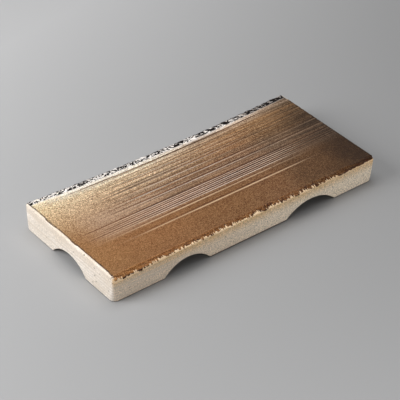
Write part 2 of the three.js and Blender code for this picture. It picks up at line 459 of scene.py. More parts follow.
def makeClayGroup():
    tree, _, out = newGroup("creamStoneware", [], ["Color", "Roughness", "Height"])
    coords, x, y, z = whereOn(tree)
    drift = cloud(coords, clay["driftScale"], clay["driftDetail"])
    base = blend(span(drift, *clay["driftTone"]), clay["shade"], clay["cream"])
    # painted light: the front face, which stands in shade, gets a warmer copy of the cream that is lighter
    # to the right
    frontSide = over(y, *clay["frontSide"])
    front = blend(over(x, *clay["frontAlong"]), clay["frontLeft"], clay["frontRight"])
    base = blend(times(frontSide, clay["frontShare"]), base, front)
    # toasted band under the glaze, strongest along the front, broken up along the edge
    flame = cloud(stretched(coords, clay["flameStretch"]), clay["flameScale"])
    heat = times(over(y, *clay["heatFront"]), over(x, *clay["heatAlong"]))
    toasted = times(over(z, *clay["toastBand"]), span(flame, *clay["flame"]), heat)
    base = blend(toasted, base, clay["toast"])
    base = blend(times(over(z, *clay["scorchBand"]), heat), base, clay["scorch"])
    # painted contact shadow along the lower edge of the foot, highest in the middle of the front
    centre = times(frontSide, over(maths("ABSOLUTE", x), *clay["footShadowMiddle"]))
    footShadow = blend(centre, over(z, *clay["footShadowEnds"]), over(z, *clay["footShadowCentre"]))
    base = blend(footShadow, base, clay["foot"])
    # sand grain in two sizes, strongest along the front
    fine = cloud(coords, clay["fineScale"], 2)
    coarse = cloud(coords, clay["coarseScale"], 2)
    grain = tint(base, span(fine, *clay["fine"]))
    grain = tint(grain, span(coarse, *clay["coarse"]))
    gritty = maths("MULTIPLY_ADD", frontSide, clay["gritFront"], clay["gritAll"])
    base = blend(gritty, base, grain)
    # pits in the front face, and iron specks all over
    pits = times(speckMask(coords, clay["pitScale"], clay["pitRarity"]), frontSide)
    base = blend(pits, base, clay["pit"])
    base = blend(speckMask(coords, clay["ironScale"], clay["ironRarity"]), base, clay["iron"])
    # level lines that the cutting wire left
    wire = cloud(stretched(coords, clay["wireStretch"]), 1, 2)
    plain = times(frontSide, over(x, *clay["wireAlong"]))
    wired = times(span(wire, *clay["wireLine"]), minus(1.0, plain))
    base = blend(wired, base, clay["wire"])
    relief = clay["relief"]
    height = plus(times(fine, relief["fine"]), times(wire, relief["wire"]))
    height = plus(height, times(coarse, relief["coarse"]))
    feed(out, {"Color": base, "Roughness": span(drift, *clay["driftDull"]), "Height": height})
    return tree


# Bronze glaze: painted gold sheen at the left and the rear, darker to the right (partly painted shade), with
# sandy speckle and silky streaks

bronze = {
    # glaze tone along the plate, darker to the right: partly the glaze's own tone, partly painted shade
    "tones": [
        (0.0, (0.302, 0.141, 0.047)),
        (0.2, (0.266, 0.115, 0.037)),
        (0.5, (0.214, 0.094, 0.03)),
        (0.68, (0.198, 0.088, 0.032)),
        (0.82, (0.118, 0.053, 0.018)),
        (1.0, (0.042, 0.018, 0.006)),
    ],
    # colours of the painted sheen towards the rear: gold, amber to the right, honey at the left end
    "goldSheen": (0.85, 0.66, 0.43),
    "amberSheen": (0.84, 0.47, 0.21),
    "honeySheen": (0.87, 0.66, 0.4),
    # colour of the pale painted reflection along the torn margin
    "marginSheen": (0.8, 0.71, 0.6),
    # colour of the painted sheen over the combed part
    "sheen": (0.77, 0.62, 0.49),
    "silver": (0.7, 0.6, 0.52),
    "brightSilver": (0.82, 0.68, 0.58),
    "tan": (0.68, 0.475, 0.3),
    "grain": (1, 0.99, 0.9),
    "furrow": (0.43, 0.28, 0.18),
    "dark": (0.02, 0.011, 0.007),
    "plainTint": (1, 1, 1),
    "driftScale": 16,
    "driftDetail": 4,
    "driftShare": 0.22,
    "rear": (-60, 75),
    "rearSteep": (-60, 60, 2.6, 5.2),
    "rearEase": (75, 130, 0, 1.9),
    "goldSheenAlong": (-170, 110, 0.78, 0.38),
    "goldSheenEnd": (110, 172, 1, 0.4),
    "amberSheenAlong": (-40, 110),
    "honeySheenEnd": (-172, -138),
    "streakStretch": (9, 520, 1),
    "streakDetail": 3,
    "streakRough": 0.6,
    "streak": (0.32, 0.68, 0.5, 1.35),
    "streakFront": (-22, -16),
    "streakAlong": (-150, -70),
    "marginSheenRear": (50, 61, 0, 0.85),
    "marginSheenStreak": (0.35, 0.6, 0.45, 1.2),
    "marginSheenEnd": (-172, -120, 0.3, 1),
    "frontDim": (-68, -46, 0.9, 1),
    "sheenFront": (-30, -16),
    "sheenRear": (6, 34, 1, 0),
    "sheenLeft": (-168, -125),
    "sheenRight": (95, 165, 1, 0.3),
    "sheenAlong": (-95, -30, 0.2, 0.08),
    "sandStretch": (0.6, 1, 1),
    "sandScale": 1900,
    "gritStretch": (0.85, 1, 1),
    "gritScale": 710,
    "gritDull": (0.25, 0.75, 0.36, 0.5),
    "grainScale": 1500,
    "grainRear": (-20, 50),
    "grainLeft": (-60, 80, 0.3, 0.09),
    "grainAlong": (-150, 0, 0.24, 0.31),
    "grainRight": (90, 150, 1, 0.6),
    "gamma": 2.2,
    "relief": {"sand": 0.7, "grit": 0.15},
    "silverAlong": (-130, -50),
    "silverFront": (-24, -20),
    "silverRight": (10, 130, 1, 0.3),
    "silverRear": (-3, 2),
    "ridgeTone": (0.05, 0.9, 0, 0.95),
    "grooveTone": (-0.8, -0.05, 1, 0),
    "pinholes": [
        ((152.6 * mm, 52.1 * mm, 31.5 * mm), 2.2 * mm),
        ((72.2 * mm, -25.7 * mm, 31.5 * mm), 1.5 * mm),
    ],
    "pinholeCore": 0.3,
    "pinholeDepth": 0.7,
    "metallic": 0.25,
    "specular": 0.4,
    "bump": (0.5 * mm, 0.5),
}


def toneRamp(share):
    tones = derive("ShaderNodeValToRGB", {"Fac": share})["Color"]
    band = tones.node.color_ramp
    band.interpolation = "EASE"
    while len(band.elements) < len(bronze["tones"]):
        band.elements.new(0.5)
    for element, (place, tone) in zip(band.elements, bronze["tones"]):
        element.position = place
        element.color = (*tone, 1)
    return tones


def gamma(colour, power):
    return derive("ShaderNodeGamma", {"Color": colour, "Gamma": power})["Color"]


def makeBronzeGroup():
    tree, given, out = newGroup("bronzeGlaze", ["Tint"], ["Color", "Roughness", "Height"])
    coords, x, y, _ = whereOn(tree)
    drift = minus(cloud(coords, bronze["driftScale"], bronze["driftDetail"]), 0.5)
    # tone along the plate; its darkening to the right is partly painted shade
    along = maths("MULTIPLY_ADD", x, 1 / (2 * halfLength), 0.5)
    base = toneRamp(plus(along, times(drift, bronze["driftShare"])))
    # painted sheen towards the rear: gold, honey at the left end, amber at the right
    steep = minus(over(x, *bronze["rearSteep"]), over(x, *bronze["rearEase"]))
    rear = maths("POWER", over(y, *bronze["rear"]), steep)
    left = times(over(x, *bronze["goldSheenAlong"]), over(x, *bronze["goldSheenEnd"]))
    goldSheen = blend(over(x, *bronze["amberSheenAlong"]), bronze["goldSheen"], bronze["amberSheen"])
    goldSheen = blend(over(x, *bronze["honeySheenEnd"]), bronze["honeySheen"], goldSheen)
    base = blend(times(rear, left), base, goldSheen)
    # painted reflection: a pale band along the bowed torn margin, fading to the right with the sheen
    streak = stretched(coords, bronze["streakStretch"])
    streak = cloud(streak, 1, bronze["streakDetail"], bronze["streakRough"])
    bowed = times(x, x, plate["rearBow"] / (halfLength - plate["cornerTop"]) ** 2)
    marginSheen = over(minus(y, bowed), *bronze["marginSheenRear"])
    marginSheen = times(marginSheen, left, span(streak, *bronze["marginSheenStreak"]))
    marginSheen = times(marginSheen, over(x, *bronze["marginSheenEnd"]))
    base = blend(marginSheen, base, bronze["marginSheen"])
    base = tint(base, over(y, *bronze["frontDim"]))
    # painted sheen, a reflection, over the combed part
    sheen = times(over(y, *bronze["sheenFront"]), over(y, *bronze["sheenRear"]))
    for key in ("sheenLeft", "sheenRight", "sheenAlong"):
        sheen = times(sheen, over(x, *bronze[key]))
    base = blend(sheen, base, bronze["sheen"])
    # sandy speckle: single grains a little lighter or darker than the glaze, boldest at the left rear, where
    # they also stand for glints of the painted sheen
    bold = times(over(y, *bronze["grainRear"]), over(x, *bronze["grainLeft"]))
    bold = plus(bold, over(x, *bronze["grainAlong"]))
    bold = times(bold, over(x, *bronze["grainRight"]))
    _, shade = cells(coords, bronze["grainScale"])
    step = tint(times(minus(shade, 0.5), bold), bronze["grain"])
    speckled = blend(1.0, gamma(base, 1 / bronze["gamma"]), step, "ADD")
    speckled.node.clamp_result = True
    base = gamma(speckled, bronze["gamma"])
    # silky streaks where the comb passed
    combed = times(over(y, *bronze["streakFront"]), over(x, *bronze["streakAlong"]))
    base = blend(combed, base, tint(base, span(streak, *bronze["streak"])))
    base = tint(base, given["Tint"])
    sand = cloud(stretched(coords, bronze["sandStretch"]), bronze["sandScale"], 2, 0.5)
    grit = cloud(stretched(coords, bronze["gritStretch"]), bronze["gritScale"], 1, 0.5)
    relief = bronze["relief"]
    height = plus(times(sand, relief["sand"]), times(grit, relief["grit"]))
    feed(out, {"Color": base, "Roughness": span(grit, *bronze["gritDull"]), "Height": height})
    return tree


# Fringe of the hewn front edge: the coat ends in teeth, with slivers of clay and a crest with a painted
# highlight between them.
# Each pattern has a lane of its own in the noise, and a size.

fringe = {
    "lean": -0.15,
    "level": (5.9 * mm, 3.5 * mm),
    "levelAlong": (-158, -98),
    "sag": 0.6 * mm,
    "sagStart": (40, 90),
    "sagEnd": (130, 165, 1, -0.6),
    "teeth": {"lane": 0.5, "size": 330},
    "teethAlong": (110, 140, 1, 0.4),
    "swing": 2.6 * mm,
    "slivers": {"lane": 3.5, "size": 540},
    "sliverPower": 3,
    "sliver": (4.4 * mm, 5.5 * mm),
    "sliverAlong": (30, 70),
    "sliverEnd": (105, 135, 1, 0.15),
    "coverEdge": (-0.15, 0.15, 1, 0),
    "coverEnd": (-174, -171.5),
    "bends": {"lane": 7.5, "size": 240},
    "bendShift": 0.2,
    "wobble": 0.9 * mm,
    "wide": 0.75 * mm,
    "crestTop": (-0.3, 0.1),
    "crestFoot": (-0.2, 0.5, 1, 0),
    "crestAlong": (40, 120, 1, 0.55),
    "notches": {"lane": 5.5, "size": 380},
    "notchPower": 2.0,
    "notch": (4.8 * mm, 7.8 * mm),
    "notchAlong": (-100, 120),
    "notchLeast": 0.8 * mm,
    "poolEdge": (-0.5, -0.1, 0.95, 0),
    "poolFade": (0.35, 1, 1, 0),
    "poolAlong": (-130, -60, 0.55, 1),
    "stretch": 60,
    "contrast": (0.32, 0.68),
    # colour of the painted highlight on the crest
    "crest": (1.0, 0.74, 0.47),
    "pool": (0.06, 0.018, 0.007),
    "lift": (1.3, 1.22, 1.16),
    "specular": 0.2,
    "bump": (0.3 * mm, 0.3),
}


def fringeNoise(slant, path, pattern):
    place = derive("ShaderNodeCombineXYZ", {"X": slant, "Y": path, "Z": pattern["lane"]})["Vector"]
    uneven = cloud(stretched(place, (pattern["size"], fringe["stretch"], 1)), 1, 2)
    return span(uneven, *fringe["contrast"])


def makeFringeGroup():
    tree, given, out = newGroup("frontFringe", ["Face"], ["Cover", "Crest", "Pool"])
    _, x, y, z = whereOn(tree)
    # distance from the arris: above zero down the front face, below zero back over the deck
    path = minus(minus(deckTop, z), plus(y, halfWidth))
    slant = plus(x, times(path, fringe["lean"]))
    # lower end of the coat, lowest at the left end
    teeth = minus(0.5, fringeNoise(slant, path, fringe["teeth"]))
    teeth = times(teeth, over(x, *fringe["teethAlong"]))
    sag = times(over(x, *fringe["sagStart"]), over(x, *fringe["sagEnd"]))
    level = over(x, *fringe["levelAlong"], *fringe["level"])
    level = maths("MULTIPLY_ADD", sag, fringe["sag"], level)
    border = plus(level, times(teeth, fringe["swing"]))
    sliver = fringeNoise(slant, path, fringe["slivers"])
    sliver = maths("POWER", sliver, fringe["sliverPower"])
    reach = over(x, *fringe["sliverAlong"], *fringe["sliver"])
    reach = times(reach, over(x, *fringe["sliverEnd"]))
    past = minus(path, minus(border, times(sliver, reach)))
    cover = times(over(past, *fringe["coverEdge"]), over(x, *fringe["coverEnd"]))
    # painted highlight on the crest, from there down to a nearly straight line
    bend = minus(fringeNoise(slant, path, fringe["bends"]), fringe["bendShift"])
    foot = plus(level, fringe["wide"], times(bend, fringe["wobble"]))
    below = minus(path, foot)
    crest = times(over(past, *fringe["crestTop"]), over(below, *fringe["crestFoot"]))
    crest = times(crest, over(x, *fringe["crestAlong"]))
    # dark notches above the crest, longest at the right
    length = fringeNoise(slant, path, fringe["notches"])
    length = maths("POWER", length, fringe["notchPower"])
    length = times(length, over(x, *fringe["notchAlong"], *fringe["notch"]))
    share = maths("DIVIDE", times(past, -1.0), plus(length, fringe["notchLeast"]))
    pool = times(over(past, *fringe["poolEdge"]), span(share, *fringe["poolFade"]))
    pool = times(pool, over(x, *fringe["poolAlong"]))
    cover = times(cover, given["Face"])
    feed(out, {"Cover": cover, "Crest": times(crest, given["Face"]), "Pool": pool})
    return tree


clayGroup = makeClayGroup()
bronzeGroup = makeBronzeGroup()
fringeGroup = makeFringeGroup()


def makeClay():
    material, tree, shader = newMaterial("stonewareClay")
    _, _, y, _ = whereOn(tree)
    body = placeGroup(tree, clayGroup)
    edge = placeGroup(tree, fringeGroup, {"Face": over(y, *clay["frontFace"])})
    base = blend(edge["Cover"], body["Color"], fringe["pool"])
    # painted highlight along the crest of the hewn edge
    base = blend(edge["Crest"], base, fringe["crest"])
    feed(shader, {
        "Base Color": base,
        "Roughness": body["Roughness"],
        "Specular IOR Level": clay["specular"],
        "Normal": bumpy(body["Height"], *clay["bump"]),
    })
    return material


def makeBronze():
    material, tree, shader = newMaterial("bronzeDeckGlaze")
    coords, x, y, _ = whereOn(tree)
    glaze = placeGroup(tree, bronzeGroup, {"Tint": bronze["plainTint"]})
    edge = placeGroup(tree, fringeGroup, {"Face": 1})
    # comb ridges are tan, and silvery in the middle; grooves and the rim are darker
    tone = toneOf(tree, "combTone")
    silvery = times(over(x, *bronze["silverAlong"]), over(y, *bronze["silverFront"]))
    silvery = times(silvery, over(x, *bronze["silverRight"]))
    silver = blend(over(y, *bronze["silverRear"]), bronze["brightSilver"], bronze["silver"])
    pale = blend(silvery, bronze["tan"], silver)
    base = blend(span(tone, *bronze["ridgeTone"]), glaze["Color"], pale)
    sunk = tint(base, bronze["furrow"])
    base = blend(span(tone, *bronze["grooveTone"]), base, sunk)
    base = blend(toneOf(tree, "rimTone"), base, bronze["dark"])
    for place, size in bronze["pinholes"]:
        away = derive("ShaderNodeVectorMath", {0: coords, 1: place}, operation="DISTANCE")["Value"]
        hole = span(away, bronze["pinholeCore"] * size, size, bronze["pinholeDepth"], 0)
        base = blend(hole, base, bronze["dark"])
    base = blend(edge["Pool"], base, fringe["pool"])
    # painted highlight along the crest of the hewn edge
    base = blend(edge["Crest"], base, fringe["crest"])
    feed(shader, {
        "Base Color": base,
        "Roughness": glaze["Roughness"],
        "Metallic": bronze["metallic"],
        "Specular IOR Level": bronze["specular"],
        "Normal": bumpy(glaze["Height"], *bronze["bump"]),
    })
    return material


tornGlaze = {
    "black": (0.008, 0.006, 0.006),
    "brown": (0.022, 0.014, 0.011),
    # colour of the painted highlights on the torn glaze
    "highlightWhite": (0.92, 0.87, 0.83),
    "fleckStretch": (0.3, 1, 1),
    "fleckScale": 620,
    "fleckHighlight": (0.34, 0.56, 0.5, 1),
    "fleckBrown": (0.5, 0.7),
    "fleckDull": (0.3, 0.7, 0.36, 0.5),
    "swirlStretch": (190, 340, 340),
    "swirlDetail": 2,
    "swirlRough": 0.5,
    "swirlTwist": 1.2,
    "swirlMiddle": (-70, 20, 0, 0.03),
    "swirlRight": (110, 165, 0, 0.05),
    "squiggle": (0.5, 0.52),
    "squiggleDepth": 1.2,
    "specular": 0.1,
    "bump": (0.35 * mm, 0.6),
}


def makeTorn():
    material, tree, shader = newMaterial("blackBrownGlaze")
    coords, x, _, _ = whereOn(tree)
    glaze = placeGroup(tree, bronzeGroup, {"Tint": bronze["plainTint"]})
    # painted highlights and reflection: white over the pale band and the outer lumps, broken up by flecks
    fleck = cloud(stretched(coords, tornGlaze["fleckStretch"]), tornGlaze["fleckScale"])
    pale = times(toneOf(tree, "highlightTone"), span(fleck, *tornGlaze["fleckHighlight"]))
    base = blend(pale, glaze["Color"], tornGlaze["highlightWhite"])
    # squiggles of black glaze in the hollows of the torn clay
    swirl = stretched(coords, tornGlaze["swirlStretch"])
    swirl = cloud(swirl, 1, tornGlaze["swirlDetail"], tornGlaze["swirlRough"], tornGlaze["swirlTwist"])
    for key in ("swirlMiddle", "swirlRight"):
        swirl = plus(swirl, over(x, *tornGlaze[key]))
    squiggle = times(span(swirl, *tornGlaze["squiggle"]), toneOf(tree, "tornTone"))
    deep = blend(span(fleck, *tornGlaze["fleckBrown"]), tornGlaze["black"], tornGlaze["brown"])
    base = blend(maths("MAXIMUM", squiggle, toneOf(tree, "darkTone")), base, deep)
    relief = minus(fleck, times(squiggle, tornGlaze["squiggleDepth"]))
    feed(shader, {
        "Base Color": base,
        "Roughness": span(fleck, *tornGlaze["fleckDull"]),
        "Specular IOR Level": tornGlaze["specular"],
        "Normal": bumpy(relief, *tornGlaze["bump"]),
    })
    return material


def makeHewn():
    material, tree, shader = newMaterial("darkBrownGlaze")
    glaze = placeGroup(tree, bronzeGroup, {"Tint": fringe["lift"]})
    body = placeGroup(tree, clayGroup)
    edge = placeGroup(tree, fringeGroup, {"Face": 1})
    coat = blend(edge["Pool"], glaze["Color"], fringe["pool"])
    base = blend(edge["Cover"], body["Color"], coat)
    # painted highlight along the crest of the hewn edge
    base = blend(edge["Crest"], base, fringe["crest"])
    feed(shader, {
        "Base Color": base,
        "Roughness": blend(edge["Cover"], body["Roughness"], glaze["Roughness"]),
        "Specular IOR Level": fringe["specular"],
        "Normal": bumpy(body["Height"], *fringe["bump"]),
    })
    return material


clayMaterial = makeClay()
bronzeMaterial = makeBronze()
tornMaterial = makeTorn()
hewnMaterial = makeHewn()
print("materials made")


# Finger arches: a low round arch whose flanks turn out into the foot

arches = {
    "longRise": 14.5 * mm,
    "leftFoot": 64 * mm,
    "leftSpan": 59 * mm,
    "rightFoot": 56 * mm,
    "rightSpan": 69 * mm,
    "endRise": 14 * mm,
    "endSpan": 58 * mm,
    "endShift": -1 * mm,
    "footTurn": 3.5 * mm,
    "archSteps": 44,
    "turnSteps": 8,
    "below": 5 * mm,
    "ahead": 10 * mm,
    "reach": 30 * mm,
}


def archOutline(width, rise):
    radius = (width * width / 4 + rise * rise) / (2 * rise)
    centre = rise - radius
    turn = arches["footTurn"]
    turnX = sqrt((radius + turn) ** 2 - (centre - turn) ** 2)
    flank = atan2(turn - centre, turnX)

    def turned(side, start):  # the flank's turn into the foot
        for i in range(arches["turnSteps"] + 1):
            angle = start + (flank - 0.5 * pi) * i / arches["turnSteps"]
            points.append((side * turnX + turn * cos(angle), turn + turn * sin(angle)))

    points = [(-turnX, -arches["below"]), (turnX, -arches["below"])]
    turned(1, 1.5 * pi)
    for i in range(1, arches["archSteps"]):
        angle = flank + (pi - 2 * flank) * i / arches["archSteps"]
        points.append((radius * cos(angle), centre + radius * sin(angle)))
    turned(-1, -flank)
    return points


def archCutter(width, rise, along, across, place):
    points = archOutline(width, rise)
    deselect()
    bpy.ops.mesh.primitive_circle_add(vertices=len(points), radius=1, fill_type="NGON")
    cutter = named("archCutter")
    for vert, (beside, up) in zip(cutter.data.vertices, points):
        vert.co = Vector(place) + Vector(along) * beside + Vector((0, 0, up))
    edit(cutter)
    bpy.ops.mesh.extrude_region_move(TRANSFORM_OT_translate={"value": Vector(across) * arches["reach"]})
    faceOutwards()
    leaveEdit()
    return cutter


# Clay walls: long walls hold the corners, end walls stand between them

walls = {
    "cornerSegments": 10,
    "levels": [2 * mm, 5 * mm, 9 * mm, 14 * mm, 20 * mm, 26 * mm],
    "stationStep": 11 * mm,
    "archMargin": 8 * mm,
    "topSegments": 6,
    "footSegments": 3,
    "innerRounding": 0.7 * mm,
    "footFace": 1 * mm,
    "soffitTop": 16 * mm,
    "soffitX": 160 * mm,
    "soffitY": 45 * mm,
    "soffitTilt": 0.2,
    "upright": 0.5,
    "outward": 0.1,
    "normalWeight": 100,
    "cornerReach": 8 * mm,
    "seatPast": 5 * mm,
    "smooth": 32,
}


def roundFoot(piece, isOuter, isInner):
    def isUnder(face):
        centre = face.calc_center_median()
        return face.normal.z < -squarely and centre.z < walls["footFace"] or isSoffit(face, centre)

    def isSoffit(face, centre):
        inArch = abs(centre.x) < walls["soffitX"] or abs(centre.y) < walls["soffitY"]
        low = centre.z < walls["soffitTop"] and face.normal.z < walls["soffitTilt"]
        return low and inArch and not isOuter(face) and not isInner(face)

    def between(edge, side):
        faces = edge.link_faces
        if len(faces) != 2:
            return False
        first, second = faces
        return side(first) and isUnder(second) or side(second) and isUnder(first)

    edit(piece)
    found = choose(piece, "EDGE", lambda edge: between(edge, isOuter))
    roundEdges(plate["footRounding"], walls["footSegments"])
    inner = choose(piece, "EDGE", lambda edge: between(edge, isInner))
    roundEdges(walls["innerRounding"], walls["footSegments"])
    print("  foot edges rounded:", found, "outside,", inner, "inside")
    leaveEdit()


def finishWall(piece, isOuter, isInner, node):
    roundFoot(piece, isOuter, isInner)
    smooth(piece, walls["smooth"])
    applyModifier(piece, "WEIGHTED_NORMAL", keep_sharp=True, weight=walls["normalWeight"])
    settle(piece, clayMaterial, "stoneware_clay", node)


def longWall(name, side, node):
    outer = side * halfWidth
    inner = pocketFront if side < 0 else pocketRear
    foot = plate["cornerFoot"]
    low = (-halfLength, min(outer, inner), 0)
    high = (halfLength, max(outer, inner), clayTop)
    piece = startBox(name, low, high)
    leftMiddle = -halfLength + arches["leftFoot"] + arches["leftSpan"] / 2
    rightMiddle = halfLength - arches["rightFoot"] - arches["rightSpan"] / 2
    openings = [(leftMiddle, arches["leftSpan"]), (rightMiddle, arches["rightSpan"])]

    def isClear(x):
        return all(abs(x - mid) > wide / 2 + walls["archMargin"] for mid, wide in openings)

    def atCorner(edge):
        place = middle(edge)
        return runsAlong(edge, 2) and abs(place.x) > halfLength - hair and abs(place.y - outer) < hair

    # the bowed rear face is cut into short facets between the arches
    half = round(pocketX / walls["stationStep"])
    stations = [i * walls["stationStep"] for i in range(1 - half, half)] if side > 0 else []
    edit(piece)
    cutAcross(0, [-pocketX, *filter(isClear, stations), pocketX])
    choose(piece, "EDGE", atCorner)
    roundEdges(foot, walls["cornerSegments"])
    for level in walls["levels"]:
        choose(piece, "FACE", lambda face: abs(face.calc_center_median().x) > pocketX)
        bpy.ops.mesh.bisect(plane_co=(0, 0, level), plane_no=(0, 0, 1))
    leaveEdit()
    # corners tighten towards the deck, and the rear face follows its bow
    for vert in piece.data.vertices:
        x, y, z = vert.co
        pastX = abs(x) - (halfLength - foot)
        pastY = side * y - (halfWidth - foot)
        if pastX > -skin and pastY > -skin:
            angle = atan2(max(pastY, 0), max(pastX, 0))
            radius = cornerRadius(z)
            x = (halfLength - radius + radius * cos(angle)) * (1 if x > 0 else -1)
            y = side * (halfWidth - radius + radius * sin(angle))
        if side > 0:
            y -= bow(x) * (y - inner) / (outer - inner)
        vert.co = (x, y, z)

    def isOuter(face):
        centre = face.calc_center_median()
        atEnd = abs(face.normal.x) > walls["upright"] and abs(centre.x) > halfLength - walls["cornerReach"]
        return abs(face.normal.z) < walls["upright"] and (face.normal.y * side > walls["outward"] or atEnd)

    def isInner(face):
        centre = face.calc_center_median()
        return face.normal.y * side < -squarely and abs(centre.x) < pocketX

    def onRim(edge):
        faces = edge.link_faces
        onTop = any(face.normal.z > squarely for face in faces)
        return len(faces) == 2 and onTop and any(isOuter(face) for face in faces)

    edit(piece)
    choose(piece, "EDGE", onRim)
    roundEdges(plate["endRounding"], walls["topSegments"])
    leaveEdit()
    start = min(outer, inner) - arches["ahead"]
    for centre, width in openings:
        carve(piece, archCutter(width, arches["longRise"], (1, 0, 0), (0, 1, 0), (centre, start, 0)))
    if side < 0:
        past = walls["seatPast"]
        seatLow = (-halfLength - past, outer - past, deckTop - plate["hewnDown"])
        seatHigh = (halfLength + past, outer + plate["hewnBack"], deckTop + past)
        carve(piece, startBox("hewnSeat", seatLow, seatHigh))
    finishWall(piece, isOuter, isInner, node)


def endWall(name, side, node):
    outer = side * halfLength
    inner = side * pocketX
    low = (min(outer, inner), pocketFront, 0)
    high = (max(outer, inner), pocketRear, clayTop)
    piece = startBox(name, low, high)

    def isOuter(face):
        return face.normal.x * side > squarely

    def isInner(face):
        return face.normal.x * side < -squarely

    def onRim(edge):
        place = middle(edge)
        return runsAlong(edge, 1) and place.z > clayTop - hair and abs(place.x - outer) < hair

    edit(piece)
    choose(piece, "EDGE", onRim)
    roundEdges(plate["endRounding"], walls["topSegments"])
    leaveEdit()
    place = (min(outer, inner) - arches["ahead"], arches["endShift"], 0)
    carve(piece, archCutter(arches["endSpan"], arches["endRise"], (0, 1, 0), (1, 0, 0), place))
    finishWall(piece, isOuter, isInner, node)


longWall("frontWall", -1, "front_wall")
longWall("rearWall", 1, "rear_wall")
endWall("leftEndWall", -1, "left_end_wall")
endWall("rightEndWall", 1, "right_end_wall")
print("walls done")


# Deck slab: its underside keeps the slight ripple of the rolling cloth

slab = {
    "cuts": 54,
    "ripple": 0.35 * mm,
    "rippleLevel": 0.5,
    "size": 11 * mm,
    "border": 1 * mm,
    "smooth": 40,
}


def deckSlab():
    low = (-pocketX, pocketFront, deckBottom)
    high = (pocketX, pocketRear, clayTop)
    piece = startBox("deckSlab", low, high)
    edit(piece)
    choose(piece, "FACE", lambda face: face.normal.z < -squarely)
    bpy.ops.mesh.subdivide(number_cuts=slab["cuts"])
    leaveEdit()
    for vert in piece.data.vertices:
        x, y, z = vert.co
        inside = min(pocketX - abs(x), y - pocketFront, pocketRear - y)
        if z < deckBottom + hair and inside > slab["border"]:
            uneven = wander(x / slab["size"], y / slab["size"], "clothRipple")
            vert.co.z += slab["ripple"] * (slab["rippleLevel"] + uneven)
    smooth(piece, slab["smooth"])
    settle(piece, clayMaterial, "stoneware_clay", "deck_slab")


# Seam coil: soft clay pressed by the thumb into the inside angles

coil = {
    "leg": 5 * mm,
    "segments": 8,
    "press": 0.45 * mm,
    "thumb": 13 * mm,
    "thumbStep": 1.7,
    "thumbStart": (4, 2, 9),
    "footGap": 1.5 * mm,
    "step": 6 * mm,
    "stepsX": 26,
    "stepsY": 20,
    "stepsZ": 3,
    "past": 0.03 * mm,
    "below": 10 * mm,
    "wallReach": 6 * mm,
    "deckFrom": 16 * mm,
    "smooth": 50,
}


def pressed(place):  # the push of the thumb, away from the walls and the deck nearby
    inward = Vector((0, 0, -1 if place.z > coil["deckFrom"] else 0))
    if abs(place.x) > pocketX - coil["wallReach"]:
        inward.x = -1 if place.x > 0 else 1
    if min(place.y - pocketFront, pocketRear - place.y) < coil["wallReach"]:
        inward.y = 1 if place.y < 0 else -1
    spot = place / coil["thumb"] * coil["thumbStep"] + Vector(coil["thumbStart"])
    return inward.normalized() * (coil["press"] * noise.noise(spot))


def seamCoil():
    piece = startBox("seamCoil", (-pocketX, pocketFront, coil["footGap"]), (pocketX, pocketRear, deckBottom))
    past = coil["past"]
    low = (-pocketX - past, pocketFront - past, -coil["below"])
    high = (pocketX + past, pocketRear + past, deckBottom + past)
    cutter = startBox("coilCutter", low, high)
    edit(cutter)
    choose(cutter, "EDGE", lambda edge: runsAlong(edge, 2) or middle(edge).z > deckBottom - hair)
    roundEdges(coil["leg"], coil["segments"])
    cutAcross(0, [coil["step"] * i for i in range(-coil["stepsX"], coil["stepsX"] + 1)])
    cutAcross(1, [pocketFront + coil["step"] * i for i in range(1, coil["stepsY"] + 1)])
    cutAcross(2, [coil["step"] * i for i in range(1, coil["stepsZ"] + 1)])
    leaveEdit()
    for vert in cutter.data.vertices:
        x, y, z = vert.co
        onWall = abs(x) > pocketX - skin or y < pocketFront + skin or y > pocketRear - skin
        if z > 0 and z <= deckBottom - skin and not onWall:
            vert.co += pressed(vert.co)
    carve(piece, cutter)
    smooth(piece, coil["smooth"])
    settle(piece, clayMaterial, "stoneware_clay", "seam_coil")


deckSlab()
seamCoil()
print("underside done")


# Glazed deck: a fine grid whose rows follow the combed lines

